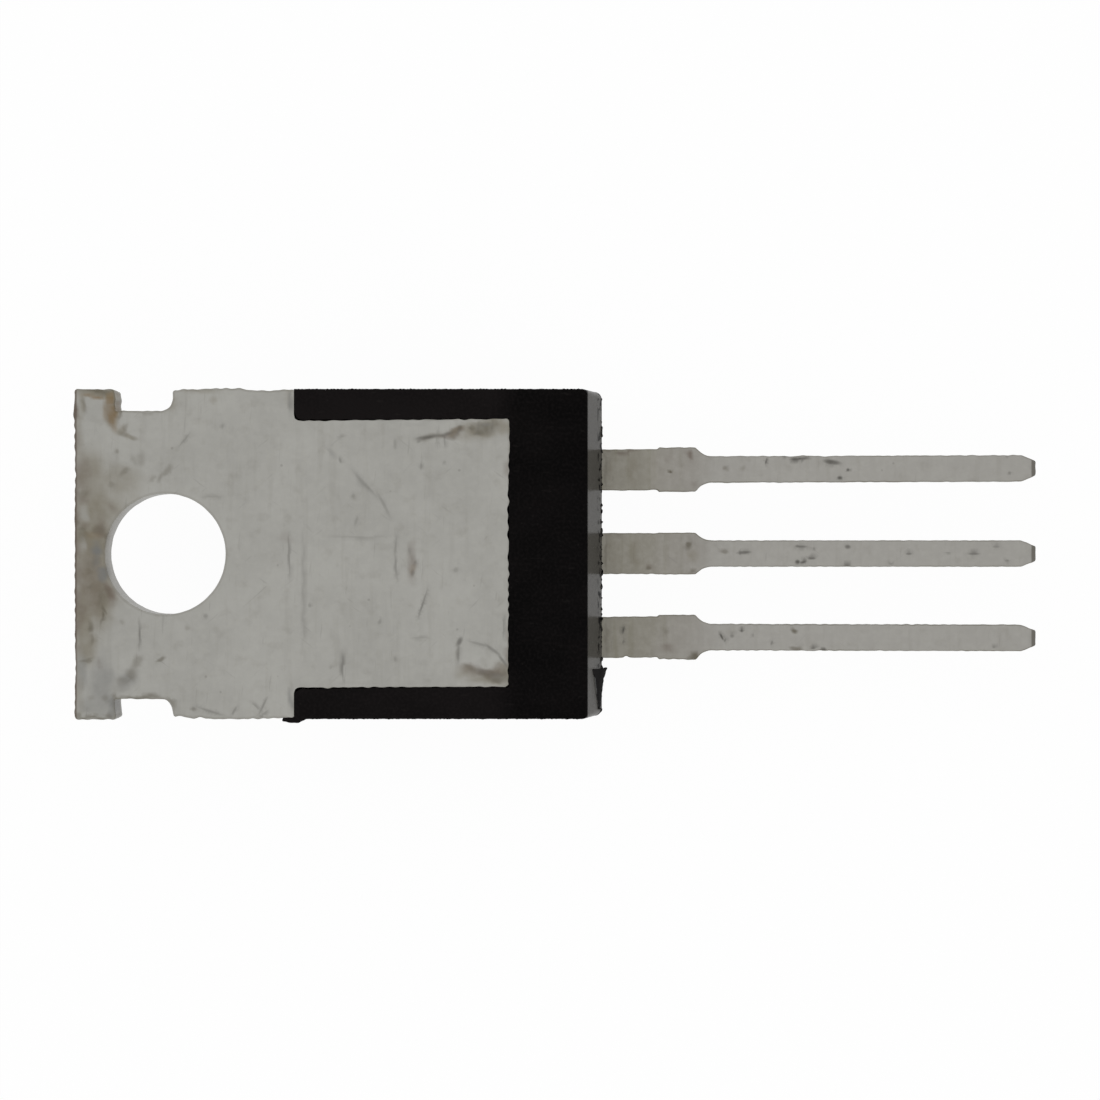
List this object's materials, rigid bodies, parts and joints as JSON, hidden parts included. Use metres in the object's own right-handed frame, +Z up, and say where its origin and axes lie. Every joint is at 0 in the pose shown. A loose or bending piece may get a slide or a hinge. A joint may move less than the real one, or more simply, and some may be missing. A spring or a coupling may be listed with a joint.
{
  "type": "power mosfet",
  "caption": "Power transistor with a bare metal tab, a fixing hole in the tab, a black moulded body and a row of straight leads.",
  "frame": {"origin": "centre of the bounding box, on the surface that the moulded front lies on", "axes": "+X from the free end of the tab to the lead tips, +Y to the gate lead's side, +Z up out of the heat-sink face"},
  "size_m": [0.0288, 0.0098, 0.0045],
  "materials": {
    "tinned_copper": "matt tin plate on copper, mottled and stained",
    "solder": "dull soft solder",
    "silicon": "polished chip with metal pads",
    "bond_aluminium": "bright drawn wire",
    "epoxy": "moulded, fine matt"
  },
  "bodies": {
    "root": {"heatsink_tab": "tinned_copper", "gate_lead": "tinned_copper", "source_lead": "tinned_copper", "die_solder": "solder", "silicon_die": "silicon", "gate_wire": "bond_aluminium", "source_wire_1": "bond_aluminium", "source_wire_2": "bond_aluminium", "mold_body": "epoxy"}
  },
  "joints": []
}
